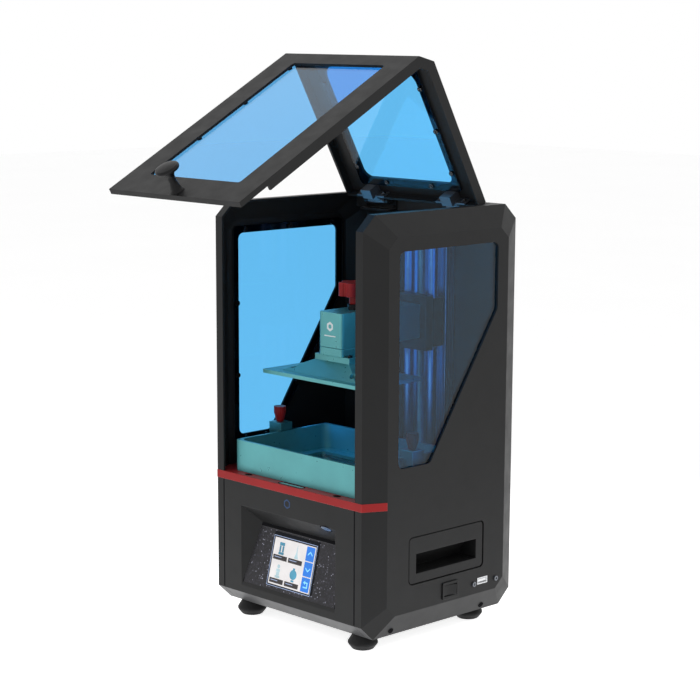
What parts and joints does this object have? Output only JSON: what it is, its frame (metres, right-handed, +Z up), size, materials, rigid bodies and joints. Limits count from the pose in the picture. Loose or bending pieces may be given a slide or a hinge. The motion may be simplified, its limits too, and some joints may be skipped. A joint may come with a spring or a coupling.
{
  "type": "resin printer",
  "caption": "Desktop resin 3-D printer: octagonal tray sides with slanted windows, hinged cover with windows, lifting build plate, resin vat, touch screen in a front recess.",
  "frame": {"origin": "on the surface under the feet, below the middle of the body", "axes": "+X to the machine's right as seen from the front, -Y to the front, +Z up"},
  "size_m": [0.223, 0.3482, 0.5361],
  "materials": {
    "case_plastic": "fine moulded grain",
    "case_metal": "powder coat",
    "red_metal": "satin",
    "red_plastic": "satin gloss",
    "teal_metal": "anodised",
    "black_metal": "anodised, satin",
    "aluminium": "brushed",
    "steel": "ground",
    "chrome": "polished",
    "brass": "turned",
    "black_steel": "black oxide",
    "window": "tinted, polished",
    "display_glass": "gloss",
    "screen": "lit, gloss",
    "black_plastic": "satin",
    "grey_plastic": "satin",
    "board": "solder mask",
    "rubber": "matte",
    "film": "clear film"
  },
  "bodies": {
    "case": {"side_panel_right": "case_plastic", "side_panel_left": "case_plastic", "side_windows": "window", "case_screws": "black_steel", "handle_cups": "case_plastic", "switch_bezel": "black_plastic", "usb_port": "steel", "front_fascia": "case_plastic", "display_panel": "display_glass", "touch_screen": "screen", "display_board": "board", "front_trim": "red_plastic", "deck_plate": "red_metal", "display_glass": "display_glass", "masking_display": "black_plastic", "door_magnet": "steel", "power_socket": "black_plastic", "back_panel": "case_metal", "bottom_plate": "case_metal", "top_beam": "case_metal", "feet": "rubber", "lamp_funnel": "black_metal", "lamp_board": "aluminium", "lamp_cooler": "aluminium", "fan_frames": "black_plastic", "inner_screws": "black_steel", "main_board": "board", "board_parts": "black_plastic", "lift_motor": "black_steel", "motor_bracket": "black_metal", "guide_rods": "chrome", "column": "aluminium", "rod_brackets": "black_metal", "vat_clamps": "black_metal", "hinge_leaf_body": "black_metal"},
    "cover": {"cover_frame": "case_plastic", "door_window": "window", "lid_window": "window", "cover_knob": "black_plastic", "hinge_leaf_cover": "steel", "cover_screws": "black_steel"},
    "lift_carriage": {"carriage": "black_metal", "drive_nut": "brass", "arm": "teal_metal", "platform_screws": "black_steel", "build_plate": "aluminium", "platform_block": "black_metal", "platform_head": "teal_metal", "platform_stud": "steel"},
    "screw": {"lead_screw": "steel", "motor_coupler": "aluminium"},
    "platform_lock": {"platform_knob": "red_plastic"},
    "vat": {"vat_body": "teal_metal", "vat_film": "film", "film_frame": "steel"},
    "vat_lock_left": {"vat_screw_left": "red_plastic"},
    "vat_lock_right": {"vat_screw_right": "red_plastic"},
    "switch": {"power_rocker": "black_plastic"},
    "lamp_fan": {"lamp_fan_rotor": "black_plastic"},
    "exhaust_fan": {"exhaust_fan_rotor": "black_plastic"}
  },
  "joints": [
    {"name": "cover_hinge", "type": "hinge", "parent": "case", "child": "cover", "pos_m": [0, 0.0688, 0.3949], "axis": [-1, 0, 0], "range_deg": [-61, 29]},
    {"name": "lift", "type": "slide", "parent": "case", "child": "lift_carriage", "axis": [0, 0, 1], "range_m": [-0.0912, 0.058]},
    {"name": "lead_screw_spin", "type": "hinge", "parent": "case", "child": "screw", "pos_m": [0, 0.075, 0.25], "axis": [0, 0, 1], "range_deg": [-2620, 4115]},
    {"name": "platform_knob_spin", "type": "hinge", "parent": "lift_carriage", "child": "platform_lock", "pos_m": [0, -0.014, 0.319], "axis": [0, 0, 1], "range_deg": [0, 720]},
    {"name": "vat_slide", "type": "slide", "parent": "case", "child": "vat", "axis": [0, -1, 0], "range_m": [0, 0.13]},
    {"name": "vat_screw_left_spin", "type": "hinge", "parent": "case", "child": "vat_lock_left", "pos_m": [-0.09, -0.0275, 0.19], "axis": [0, 0, 1], "range_deg": [0, 720]},
    {"name": "vat_screw_right_spin", "type": "hinge", "parent": "case", "child": "vat_lock_right", "pos_m": [0.09, -0.0275, 0.19], "axis": [0, 0, 1], "range_deg": [0, 720]},
    {"name": "switch_rock", "type": "hinge", "parent": "case", "child": "switch", "pos_m": [0.107, 0.0045, 0.0462], "axis": [0, 0, 1], "range_deg": [0, 16]},
    {"name": "lamp_fan_spin", "type": "hinge", "parent": "case", "child": "lamp_fan", "pos_m": [0, -0.0305, 0.049], "axis": [0, 0, 1], "continuous": true},
    {"name": "exhaust_fan_spin", "type": "hinge", "parent": "case", "child": "exhaust_fan", "pos_m": [0.055, 0.092, 0.066], "axis": [0, 1, 0], "continuous": true}
  ],
  "couplings": [
    {"joint": "lead_screw_spin", "follows": "lift", "rad_per_m": -785.4}
  ]
}
